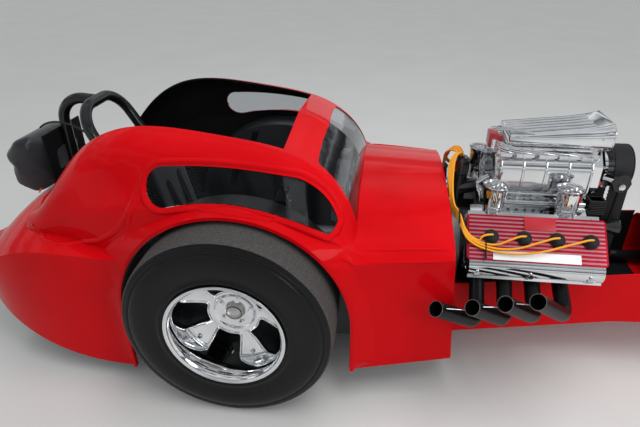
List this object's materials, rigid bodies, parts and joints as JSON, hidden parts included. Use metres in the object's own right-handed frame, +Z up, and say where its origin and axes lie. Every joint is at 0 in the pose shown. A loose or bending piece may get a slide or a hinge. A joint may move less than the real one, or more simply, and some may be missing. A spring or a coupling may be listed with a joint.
{
  "type": "drag racing coupe",
  "caption": "Competition drag coupe with a cut-open fibreglass coupe body, tube frame, blown V8 ahead of the firewall, wide rear slicks and a long narrow nose.",
  "frame": {"origin": "centre of the footprint on the ground", "axes": "+X forward towards the nose, +Y to the car's left, +Z up"},
  "size_m": [4.465, 1.4218, 1.0309],
  "materials": {
    "red_paint": "gloss",
    "black_paint": "satin",
    "frame_black": "gloss",
    "clear_plastic": "gloss",
    "polished_metal": "polished",
    "cast_metal": "satin",
    "iron_black": "satin",
    "tyre_rubber": "worn",
    "belt_rubber": "matte",
    "black_cloth": "matte",
    "seat_cloth": "matte",
    "wire_yellow": "gloss",
    "cover_red": "gloss"
  },
  "bodies": {
    "chassis": {"coupe_shell": "red_paint", "windscreen": "clear_plastic", "side_windows": "clear_plastic", "firewall": "black_paint", "floor_pan": "black_paint", "dash_panel": "black_paint", "wheel_tubs": "black_paint", "frame_rails": "frame_black", "roll_cage": "frame_black", "seat_shell": "black_paint", "seat_pad": "seat_cloth", "rear_axle": "iron_black", "driveline": "cast_metal", "engine_block": "iron_black", "cylinder_heads": "polished_metal", "valve_covers": "cover_red", "breather_cups": "polished_metal", "intake_manifold": "polished_metal", "blower_case": "polished_metal", "blower_front_cover": "polished_metal", "drive_pulleys": "polished_metal", "blower_belt": "belt_rubber", "injector_hat": "polished_metal", "fuel_lines": "cover_red", "magneto": "iron_black", "plug_wires": "wire_yellow", "exhaust_pipes": "frame_black", "front_side_panels": "red_paint", "nose_shell": "red_paint", "front_axle": "polished_metal", "parachute_pack": "black_cloth", "parachute_tray": "black_paint"},
    "knuckle_right": {"knuckle_right": "polished_metal"},
    "knuckle_left": {"knuckle_left": "polished_metal"},
    "tie_rod": {"tie_rod": "polished_metal"},
    "rear_wheel_right": {"rear_wheel_right": "polished_metal", "rear_tyre_right": "tyre_rubber"},
    "rear_wheel_left": {"rear_wheel_left": "polished_metal", "rear_tyre_left": "tyre_rubber"},
    "front_wheel_right": {"front_wheel_right": "polished_metal", "front_tyre_right": "tyre_rubber"},
    "front_wheel_left": {"front_wheel_left": "polished_metal", "front_tyre_left": "tyre_rubber"},
    "steering_wheel": {"steering_wheel": "frame_black"}
  },
  "joints": [
    {"name": "rear_wheel_right_roll", "type": "hinge", "parent": "chassis", "child": "rear_wheel_right", "pos_m": [-0.9425, -0.555, 0.385], "axis": [0, 1, 0], "continuous": true},
    {"name": "rear_wheel_left_roll", "type": "hinge", "parent": "chassis", "child": "rear_wheel_left", "pos_m": [-0.9425, 0.555, 0.385], "axis": [0, 1, 0], "continuous": true},
    {"name": "steer_right", "type": "hinge", "parent": "chassis", "child": "knuckle_right", "pos_m": [1.9025, -0.53, 0.292], "axis": [0, 0, 1], "range_deg": [-20, 20]},
    {"name": "front_wheel_right_roll", "type": "hinge", "parent": "knuckle_right", "child": "front_wheel_right", "pos_m": [1.9025, -0.612, 0.292], "axis": [0, 1, 0], "continuous": true},
    {"name": "steer_left", "type": "hinge", "parent": "chassis", "child": "knuckle_left", "pos_m": [1.9025, 0.53, 0.292], "axis": [0, 0, 1], "range_deg": [-20, 20]},
    {"name": "front_wheel_left_roll", "type": "hinge", "parent": "knuckle_left", "child": "front_wheel_left", "pos_m": [1.9025, 0.612, 0.292], "axis": [0, 1, 0], "continuous": true},
    {"name": "tie_rod_swing", "type": "hinge", "parent": "knuckle_right", "child": "tie_rod", "pos_m": [1.7725, -0.53, 0.2497], "axis": [0, 0, 1], "range_deg": [-20, 20]},
    {"name": "steering_wheel_turn", "type": "hinge", "parent": "chassis", "child": "steering_wheel", "pos_m": [-1.01756, 0, 0.77479], "axis": [-0.9613, 0, 0.2756], "range_deg": [-120, 120]}
  ],
  "couplings": [
    {"joint": "steer_left", "follows": "steer_right", "ratio": 1},
    {"joint": "tie_rod_swing", "follows": "steer_right", "ratio": -1},
    {"joint": "steering_wheel_turn", "follows": "steer_right", "ratio": 6}
  ]
}
